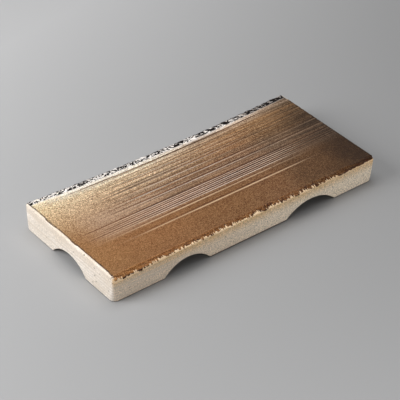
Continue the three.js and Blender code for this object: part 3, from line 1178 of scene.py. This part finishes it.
deck = {
    "columns": 150,
    "rows": 320,
    "front": -72 * mm,
    "rearMargin": 11.7 * mm,
    "endMargin": 2.3 * mm,
    "endSteps": [0, 0.18 * mm, 0.42 * mm, 0.75 * mm, 1.2 * mm, 1.8 * mm, 2.6 * mm],
    "endRun": 1.15 * mm,
    "endRunSize": 21 * mm,
    "endRunRow": -3.1,
    "endRunFrom": (0.02, 0.3),
    "endRagged": 0.18 * mm,
    "endRaggedSize": 2.3 * mm,
    "endRaggedRow": -1.7,
    "rightMargin": 0.2 * mm,
    "rightRounding": 2.3 * mm,
    "lip": 0.5 * mm,
    "lipReach": 0.75 * mm,
    "skirt": 1.1 * mm,
    "wave": 0.12 * mm,
    "waveSize": (24 * mm, 11 * mm),
    "waveBorder": 4 * mm,
    "sink": 0.5 * mm,
    "sinkReach": 1.3 * mm,
    "sinkShade": 1.8 * mm,
    "sinkTone": 1.8,
    "rimLine": 0.9,
    "rimPlace": 0.25 * mm,
    "rimWide": 0.45 * mm,
    "rimFade": (0.5 * mm, 1.4 * mm),
    "rimLevel": 0.75,
    "rimPatch": 0.5,
    "rimSize": 6 * mm,
    "smooth": 45,
    "ridgeHeight": 0.14 * mm,
    "grooveDepth": 0.26 * mm,
    "combReach": 5 * mm,
    "combShift": 0.45 * mm,
    "shiftStep": 7.3,
    "shiftRow": 2.9,
    "raggedStep": 3.1,
    "raggedRow": 0.7,
    "sway": 0.3,
    "swayLevel": 0.85,
    "swaySize": 38 * mm,
    "swayStep": 1.7,
    "levelStep": 5.3,
    "levelRow": 0.4,
    "patch": 0.8,
    "patchSize": 17 * mm,
    "patchStep": 2.3,
    "aheadShare": 0.6,
    "firstShifted": 4,
    "startSkew": 0.3,
    "skewFrom": -19 * mm,
    "plainComb": {"pitch": 0, "count": 1, "ahead": 0, "ragged": 0, "uneven": 0, "pair": 1},
    "combs": [
        {"first": -36.9 * mm, "wide": 0.85 * mm, "behind": 2.5 * mm, "ahead": 2.9 * mm, "ridge": 1.15,
         "groove": 0.85, "rise": (-190 * mm, -10 * mm), "fall": (60 * mm, 135 * mm), "rest": 0.15},
        {"first": -25.9 * mm, "wide": 0.85 * mm, "behind": 2.3 * mm, "ahead": 2.6 * mm, "ridge": 0.87,
         "groove": 0.7, "rise": (-220 * mm, -30 * mm), "fall": (20 * mm, 150 * mm), "rest": 0.15},
        {"first": -19.9 * mm, "pitch": 2.8 * mm, "count": 6, "wide": 0.64 * mm, "behind": 1.4 * mm,
         "ridge": 0.9, "groove": 3.0, "rise": (-178 * mm, -100 * mm), "fall": (75 * mm, 135 * mm),
         "rest": 0.25, "ragged": 14 * mm, "pair": 0.4},
        {"first": -3.9 * mm, "wide": 0.75 * mm, "behind": 0, "ridge": 0,
         "groove": 0.55, "rise": (-178 * mm, -90 * mm), "fall": (0, 150 * mm), "rest": 0.5},
        {"first": 5.1 * mm, "pitch": 5.1 * mm, "count": 3, "wide": 0.75 * mm, "behind": 2.3 * mm,
         "ridge": 0.5, "groove": 1.0, "rise": (-190 * mm, -50 * mm), "fall": (-20 * mm, 150 * mm),
         "rest": 0.5, "ragged": 20 * mm, "uneven": 0.3},
        {"first": 23.9 * mm, "wide": 0.75 * mm, "behind": 2.2 * mm, "ridge": 0.7,
         "groove": 0.6, "rise": (-190 * mm, -50 * mm), "fall": (0, 110 * mm), "rest": 0.2, "uneven": 0.2},
        {"first": 31.1 * mm, "pitch": 4.9 * mm, "count": 6, "wide": 0.7 * mm, "behind": 2.2 * mm,
         "ridge": 0.4, "groove": 0.55, "rise": (-180 * mm, -60 * mm), "fall": (0, 150 * mm), "rest": 0.5,
         "ragged": 30 * mm, "uneven": 0.6},
        {"first": -1 * mm, "pitch": 3.3 * mm, "count": 17, "wide": 0.5 * mm, "behind": 1.2 * mm,
         "ridge": 0.25, "groove": 0.35, "rise": (-190 * mm, -90 * mm), "fall": (0, 150 * mm), "rest": 0.4,
         "ragged": 30 * mm, "uneven": 0.8},
    ],
}


def combLines():
    lines = []
    for number, own in enumerate(deck["combs"]):
        comb = {**deck["plainComb"], **own}
        for i in range(comb["count"]):
            place = comb["first"] + i * comb["pitch"]
            if number >= deck["firstShifted"]:
                shift = wander(deck["shiftStep"] * i, deck["shiftRow"] * number, "combShift")
                place += deck["combShift"] * shift
            deep = comb["pair"] if i % 2 == 0 else 1  # lines of a paired comb stand two by two
            lines.append((place, comb, deep, len(lines)))
    return lines


def combAt(x, y, lines):  # above zero on a ridge, below zero in a groove
    tone = 0.0
    for place, comb, deep, number in lines:
        away = y - place
        if abs(away) > deck["combReach"]:
            continue
        ragged = comb["ragged"] * wander(number * deck["raggedStep"], deck["raggedRow"], "combRagged")
        start = x + ragged - deck["startSkew"] * max(0.0, place - deck["skewFrom"])
        strength = ramp(start, *comb["rise"])
        strength *= 1 - (1 - comb["rest"]) * ramp(x + ragged, *comb["fall"])
        sway = wander(x / deck["swaySize"], number * deck["swayStep"], "combSway")
        strength *= deck["swayLevel"] + deck["sway"] * sway
        patchy = wander(number * deck["levelStep"], deck["levelRow"], "combLevel")
        patchy += deck["patch"] * wander(x / deck["patchSize"], number * deck["patchStep"], "combPatch")
        strength *= max(0.0, 1 + comb["uneven"] * patchy)
        ridge = comb["ridge"] * bump(away, comb["wide"])
        groove = comb["groove"] * deep * bump(away - comb["behind"], comb["wide"])
        if comb["ahead"] > 0:
            groove += deck["aheadShare"] * comb["groove"] * bump(away + comb["ahead"], comb["wide"])
        tone += strength * (ridge - groove)
    return max(-1.0, min(1.0, tone))


def endReach(y, side):  # at the left the glaze runs a little over the arris in places
    if side > 0:
        return halfLength - deck["rightMargin"]
    run = ramp(wander(y / deck["endRunSize"], deck["endRunRow"], "endRun"), *deck["endRunFrom"])
    ragged = deck["endRagged"] * wander(y / deck["endRaggedSize"], deck["endRaggedRow"], "endRagged")
    return halfLength - deck["endMargin"] + ragged + deck["endRun"] * run


def rimTone(x, y, inset, side):  # dark line along the left end, and dark ends of the coat
    line = 0.0
    if side < 0:
        away = halfLength - abs(x) - deck["endMargin"] - deck["rimPlace"]
        line = deck["rimLine"] * bump(away, deck["rimWide"])
    patchy = deck["rimLevel"] + deck["rimPatch"] * wander(y / deck["rimSize"], side, "rimPatch")
    return min(1.0, max(line, 1 - ramp(inset, *deck["rimFade"])) * patchy)


def deckGlaze():
    columns, rows = deck["columns"], deck["rows"]
    deselect()
    bpy.ops.mesh.primitive_grid_add(x_subdivisions=columns, y_subdivisions=rows, size=1)
    piece = named("deckGlaze")
    lines = combLines()
    front = deck["front"]
    rear = rearEdge(0) - deck["rearMargin"]
    steps = deck["endSteps"]
    tones = []
    rims = []
    for vert in piece.data.vertices:
        column = round((vert.co.x + 0.5) * columns)
        row = round((vert.co.y + 0.5) * rows)
        y0 = front + (rear - front) * row / rows
        follow = (y0 - front) / (rear - front)
        fromEnd = min(column, columns - column)
        side = -1 if column < columns / 2 else 1
        end = endReach(y0, side)
        if fromEnd < len(steps):
            inset = steps[fromEnd]
        else:
            share = (fromEnd - len(steps) + 1) / (columns / 2 - len(steps) + 1)
            inset = steps[-1] + (end - steps[-1]) * share
        x = side * (end - inset)
        y = y0 + (bow(0) - bow(x)) * follow * follow
        tone = combAt(x, y0, lines)
        z = deckTop + tone * (deck["ridgeHeight"] if tone > 0 else deck["grooveDepth"])
        behind = rear - y0
        calm = ramp(y0 - front, 0, deck["waveBorder"]) * ramp(behind, 0, deck["waveBorder"])
        z += deck["wave"] * calm * wander(x / deck["waveSize"][0], y0 / deck["waveSize"][1], "deckWave")
        if side > 0:
            z -= arrisDrop(halfLength - x, deck["rightRounding"])
        elif inset < deck["lipReach"]:
            z -= deck["lip"] * (1 - inset / deck["lipReach"]) ** 2
        # the rear border sinks to a dark groove
        sink = rearGroove(x)
        if behind < deck["sinkReach"]:
            z -= deck["sink"] * sink * (1 - behind / deck["sinkReach"]) ** 2
        if behind < deck["sinkShade"]:
            tone = min(tone, -sink * min(1.0, deck["sinkTone"] * (1 - behind / deck["sinkShade"])))
        vert.co = (x, y, z)
        tones.append(max(-1.0, tone))
        rims.append(rimTone(x, y0, inset, side))
    paintTones(piece, {"combTone": tones, "rimTone": rims})
    # the border goes down to a level foot, which is closed
    edit(piece)
    bpy.ops.mesh.select_mode(type="EDGE")
    bpy.ops.mesh.select_all(action="DESELECT")
    bpy.ops.mesh.select_non_manifold()
    bpy.ops.mesh.extrude_edges_move(TRANSFORM_OT_translate={"value": (0, 0, -deck["skirt"])})
    mesh = bmesh.from_edit_mesh(piece.data)
    for vert in mesh.verts:
        if vert.select:
            vert.co.z = min(deckTop - deck["skirt"], vert.co.z)
    bmesh.update_edit_mesh(piece.data)
    bpy.ops.mesh.edge_face_add()
    faceOutwards()
    leaveEdit()
    smooth(piece, deck["smooth"])
    settle(piece, bronzeMaterial, "bronze_glaze", "deck_glaze")


# Torn rear margin: lumps of thick glaze that hang a little over the rear arris

torn = {
    "width": 11.5 * mm,
    "end": 173.1 * mm,
    "cuts": 620,
    "across": 26,
    "down": 5,
    "twist": 0.9,
    "twistSize": (7 * mm, 6 * mm),
    "lump": 0.95 * mm,
    "lumpSize": (4.4 * mm, 2.9 * mm),
    "lumpFade": (0.3, 0.65),
    "crumb": 0.22 * mm,
    "crumbSize": (2.4 * mm, 1.3 * mm),
    "crumbFade": (0.05, 0.3),
    "overhang": 0.35 * mm,
    "hangLevel": 0.7,
    "hangSway": 0.9,
    "hangSize": 3.1 * mm,
    "hangStep": 1.5,
    "bellyStart": 0.25,
    "bellyLevel": 0.4,
    "drip": 1.9 * mm,
    "dripLevel": 0.8,
    "dripSway": 1.1,
    "dripSize": 6.5 * mm,
    "dripRow": 0.2,
    "bite": 1.1 * mm,
    "biteSize": 4.1 * mm,
    "biteRow": 0.9,
    "biteUp": (0.2, 1.0),
    "biteRear": (0.6, 1.0),
    "seat": 0.15 * mm,
    "tuck": 0.7 * mm,
    "tuckUpTo": 0.001,
    "grooveDepth": 0.35 * mm,
    "grooveFade": (0, 0.1),
    "rearFace": 0.999,
    "rearFall": 0.8 * mm,
    "rearFade": (0.86, 1.0),
    "endFall": 0.45 * mm,
    "endFade": (1.9 * mm, 5 * mm),
    "rightward": (70 * mm, 150 * mm),
    "leftward": (-172 * mm, -135 * mm),
    "outer": (0.3, 0.45),
    "darkRear": (0.86, 0.92),
    "darkPatch": (-0.1, 0.02),
    "darkRow": 0.2,
    "faceDark": 0.95,
    "faceDarkUpTo": 0.8,
    "endDark": 0.8,
    "grooveDark": 0.9,
    "grooveShade": (0, 0.06),
    "rightDark": 0.55,
    "bandFade": (-0.04, 0.3),
    "bandLevel": 0.5,
    "bandCrumb": 0.7,
    "bandRight": 0.9,
    "bandLeft": 0.25,
    "highlightRight": 0.3,
    "smooth": 60,
}


def tornField(x, rearward):  # lumps, and crumbs on them
    across = rearward * torn["width"]
    twist = torn["twist"] * wander(x / torn["twistSize"][0], across / torn["twistSize"][1], "tornTwist")
    lump = wander(x / torn["lumpSize"][0] + twist, across / torn["lumpSize"][1] - twist, "tornLump")
    crumb = wander(x / torn["crumbSize"][0], across / torn["crumbSize"][1], "tornCrumb")
    return lump, crumb


def tornTones(x, rearward, upward, crumb, groove, atEnd):  # dark glaze, painted highlights, and where the squiggles lie
    rightward = ramp(x, *torn["rightward"])
    leftward = ramp(x, *torn["leftward"])
    outer = ramp(rearward, *torn["outer"])
    patchy = ramp(wander(x / torn["biteSize"], torn["darkRow"], "tornDark"), *torn["darkPatch"])
    dark = ramp(rearward, *torn["darkRear"]) * patchy
    if rearward > torn["rearFace"] and upward < torn["faceDarkUpTo"]:
        dark = torn["faceDark"]
    dark = max(dark, torn["endDark"] * (1 - atEnd))
    dark = max(dark, torn["grooveDark"] * groove * (1 - ramp(rearward, *torn["grooveShade"])))
    dark = max(dark, torn["rightDark"] * rightward * outer)
    # the pale band and the pale outer lumps are painted highlights and reflection
    band = ramp(rearward, *torn["bandFade"]) * (torn["bandLevel"] + torn["bandCrumb"] * crumb)
    band *= 1 - torn["bandRight"] * rightward
    band *= torn["bandLeft"] + (1 - torn["bandLeft"]) * leftward
    pale = band + (1 - torn["highlightRight"] * rightward - band) * outer
    return min(1.0, max(0.0, dark)), min(1.0, max(0.0, pale)), outer


def rearTornEdge():
    low = (-torn["end"], 0, clayTop)
    high = (torn["end"], torn["width"], deckTop)
    piece = startBox("rearTornEdge", low, high)
    edit(piece)
    for axis, cuts in ((0, torn["cuts"]), (1, torn["across"]), (2, torn["down"])):
        choose(piece, "EDGE", lambda edge: runsAlong(edge, axis))
        bpy.ops.mesh.subdivide(number_cuts=cuts)
    leaveEdit()
    tones = []
    for vert in piece.data.vertices:
        x, y, z = vert.co
        rearward = y / torn["width"]  # from 0 at the deck to 1 at the rear
        upward = (z - clayTop) / (deckTop - clayTop)  # from 0 on the clay to 1 on top
        atEnd = ramp(halfLength - abs(x), *torn["endFade"])
        lump, crumb = tornField(x, rearward)
        groove = rearGroove(x)
        height = torn["lump"] * lump * ramp(rearward, *torn["lumpFade"])
        height += torn["crumb"] * crumb * ramp(rearward, *torn["crumbFade"])
        top = deckTop + height * atEnd
        top -= torn["grooveDepth"] * groove * (1 - ramp(rearward, *torn["grooveFade"]))
        top -= torn["rearFall"] * ramp(rearward, *torn["rearFade"]) ** 2 + torn["endFall"] * (1 - atEnd)
        edge = rearEdge(x) - torn["width"] * (1 - rearward)
        bite = torn["bite"] * max(0.0, wander(x / torn["biteSize"], torn["biteRow"], "tornBite")) * atEnd
        bottom = clayTop - torn["seat"]
        if rearward > torn["rearFace"]:
            sway = wander(x / torn["hangSize"], upward * torn["hangStep"], "tornHang")
            hang = torn["overhang"] * (torn["hangLevel"] + torn["hangSway"] * sway) * atEnd
            run = wander(x / torn["dripSize"], torn["dripRow"], "tornDrip")
            bottom -= torn["drip"] * (torn["dripLevel"] + torn["dripSway"] * run) * atEnd
            belly = sin(pi * min(1.0, torn["bellyStart"] + upward))
            belly = torn["bellyLevel"] + (1 - torn["bellyLevel"]) * belly
            edge += hang * belly - bite * ramp(upward, *torn["biteUp"])
            if upward < torn["tuckUpTo"]:
                edge -= torn["tuck"]
        else:
            edge -= bite * ramp(rearward, *torn["biteRear"]) * upward
        vert.co = (x, edge, bottom + (top - bottom) * upward)
        tones.append(tornTones(x, rearward, upward, crumb, groove, atEnd))
    paintTones(piece, dict(zip(("darkTone", "highlightTone", "tornTone"), zip(*tones))))
    smooth(piece, torn["smooth"])
    settle(piece, tornMaterial, "black_brown_glaze", "rear_torn_edge")


# Hewn front arris: short scooped chips, glazed above and bare below

hewn = {
    "end": 174.7 * mm,
    "setback": 0.12 * mm,
    "cuts": 860,
    "segments": 14,
    "bevel": 3.8 * mm,
    "profile": 0.27,
    "chip": 4.4 * mm,
    "chipSway": 0.8,
    "swaySize": 11 * mm,
    "swayRow": 0.3,
    "kindLevel": 0.5,
    "kindSway": 0.7,
    "kindStep": 2.37,
    "kindRow": 1.9,
    "depth": 1.25 * mm,
    "leastDepth": 0.25,
    "slant": 1.5,
    "bellyRise": (0.05, 0.4),
    "bellyFall": (0.7, 0.98),
    "scoopCurve": 1.2,
    "scoopEdge": (0, 0.08),
    "inward": (0, 0.7, -0.7),
    "crumb": 0.3 * mm,
    "crumbSize": 1.3 * mm,
    "crumbStep": 3,
    "lip": 0.4 * mm,
    "lipLevel": 0.4,
    "lipSize": 2.6 * mm,
    "lipRow": 0.3,
    "lipPlace": 0.17,
    "lipWide": 0.07,
    "outward": (0, -1, 0.15),
    "border": 0.01,
    "smooth": 50,
}


def chipAt(x, level):  # place within a chip, and a value that differs from chip to chip
    sway = wander(x / hewn["swaySize"], hewn["swayRow"], "chipSway")
    place = x / hewn["chip"] + hewn["chipSway"] * sway - hewn["slant"] * level
    cell = floor(place)
    kind = wander(cell * hewn["kindStep"], hewn["kindRow"], "chipKind")
    return place - cell, hewn["kindLevel"] + hewn["kindSway"] * kind


def chipPush(x, level):  # how far the chips sink in, and the lip under them stands out
    along, kind = chipAt(x, level)
    belly = ramp(level, *hewn["bellyRise"]) * (1 - ramp(level, *hewn["bellyFall"]))
    scoop = (1 - along) ** hewn["scoopCurve"] * ramp(along, *hewn["scoopEdge"])
    push = hewn["depth"] * belly * (hewn["leastDepth"] + kind) * scoop
    push += hewn["crumb"] * belly * wander(x / hewn["crumbSize"], level * hewn["crumbStep"], "chipCrumb")
    lip = hewn["lip"] * bump(level - hewn["lipPlace"], hewn["lipWide"])
    lip *= hewn["lipLevel"] + wander(x / hewn["lipSize"], hewn["lipRow"], "chipLip")
    return Vector(hewn["inward"]) * push + Vector(hewn["outward"]) * max(0.0, lip)


def frontHewnEdge():
    low = (-hewn["end"], -halfWidth + hewn["setback"], deckTop - plate["hewnDown"])
    high = (hewn["end"], -halfWidth + plate["hewnBack"], deckTop)
    piece = startBox("frontHewnEdge", low, high)

    def onArris(edge):
        return runsAlong(edge, 0) and middle(edge).z > high[2] - skin and middle(edge).y < low[1] + skin

    edit(piece)
    choose(piece, "EDGE", lambda edge: runsAlong(edge, 0))
    bpy.ops.mesh.subdivide(number_cuts=hewn["cuts"])
    choose(piece, "EDGE", onArris)
    roundEdges(hewn["bevel"], hewn["segments"], profile=hewn["profile"])
    leaveEdit()
    cornerTop = plate["cornerTop"]
    for vert in piece.data.vertices:
        x, y, z = vert.co
        back = (y - low[1]) / (high[1] - low[1])
        up = (z - low[2]) / (high[2] - low[2])
        atBack = back > 1 - hewn["border"] and up < 1 - hewn["border"]
        atFoot = up < hewn["border"] and back > hewn["border"]
        if not atBack and not atFoot:  # faces in the seat stay flat
            vert.co += chipPush(x, (back + up) / 2)
        # plan corner and end rounding
        past = max(0.0, abs(x) - (halfLength - cornerTop))
        vert.co.y += (cornerTop - sqrt(max(0.0, cornerTop ** 2 - past * past))) * (1 - back)
        drop = arrisDrop(halfLength - abs(x), plate["endRounding"])
        vert.co.z -= drop * max(0.0, (vert.co.z - low[2]) / (high[2] - low[2]))
    smooth(piece, hewn["smooth"])
    settle(piece, hewnMaterial, "dark_brown_glaze", "front_hewn_edge")


deckGlaze()
rearTornEdge()
frontHewnEdge()
print("glaze done")


# Floor with painted light falloff, and soft studio light

studio = {
    "floor": (0.364, 0.364, 0.367),
    "floorSize": 30,
    "floorRoughness": 0.75,
    "floorSpecular": 0.2,
    "falloffLevel": 0.965,
    "falloffX": -0.37,
    "falloffY": 0.32,
    "falloffCurve": 1.7,
    "falloffLeast": 0.75,
    "falloffMost": 1.35,
    "worldSide": (-0.45, 0.35, 0.8),
    "worldTurn": (-0.3, 1),
    "worldLevel": (0.08, 0.32),
    "aim": (0, 0, 0.02),
    "lamps": {
        "keySoftbox": {"place": (-1.25, 0.45, 0.8), "size": (0.9, 0.9), "power": 20},
        "topSoftbox": {"place": (0.1, -0.05, 1.5), "size": (1.3, 1.3), "power": 6.5},
        "backSoftbox": {"place": (0.05, 0.4, 1.55), "size": (1.4, 0.7), "power": 7.5},
        "fillSoftbox": {"place": (0.9, -1.6, 0.12), "size": (1.2, 0.2), "power": 7.8},
    },
}


def softbox(name, place, size, power):
    deselect()
    bpy.ops.object.light_add(type="AREA", location=place)
    lamp = bpy.context.object
    lamp.name = name
    lamp.data.shape = "RECTANGLE"
    lamp.data.size, lamp.data.size_y = size
    lamp.data.energy = power
    lamp.rotation_euler = (Vector(studio["aim"]) - Vector(place)).to_track_quat("-Z", "Y").to_euler()


def makeFloor():  # painted light falloff: a little paler to the left and the rear
    deselect()
    bpy.ops.mesh.primitive_plane_add(size=studio["floorSize"])
    ground = bpy.context.object
    ground.name = "floor"
    material, tree, shader = newMaterial("paleFloor")
    _, x, y, _ = whereOn(tree)
    lightFalloff = maths("MULTIPLY_ADD", x, studio["falloffX"], studio["falloffLevel"])
    lightFalloff = plus(lightFalloff, times(y, y, studio["falloffCurve"]), times(y, studio["falloffY"]))
    lightFalloff = maths("MINIMUM", maths("MAXIMUM", lightFalloff, studio["falloffLeast"]), studio["falloffMost"])
    feed(shader, {
        "Base Color": tint(studio["floor"], lightFalloff),
        "Roughness": studio["floorRoughness"],
        "Specular IOR Level": studio["floorSpecular"],
    })
    ground.data.materials.append(material)


def makeWorld():  # brighter above and to the left
    world = bpy.data.worlds.new("studio")
    bpy.context.scene.world = world
    world.use_nodes = True
    tree = world.node_tree
    around = addNode(tree, "ShaderNodeTexCoord")["Generated"]
    inputs = {0: around, 1: Vector(studio["worldSide"]).normalized()}
    facing = derive("ShaderNodeVectorMath", inputs, operation="DOT_PRODUCT")["Value"]
    level = span(facing, *studio["worldTurn"], *studio["worldLevel"])
    feed(tree.nodes["Background"], {"Color": (1, 1, 1), "Strength": level})


makeFloor()
for name, lamp in studio["lamps"].items():
    softbox(name, lamp["place"], lamp["size"], lamp["power"])
makeWorld()
print("studio done")
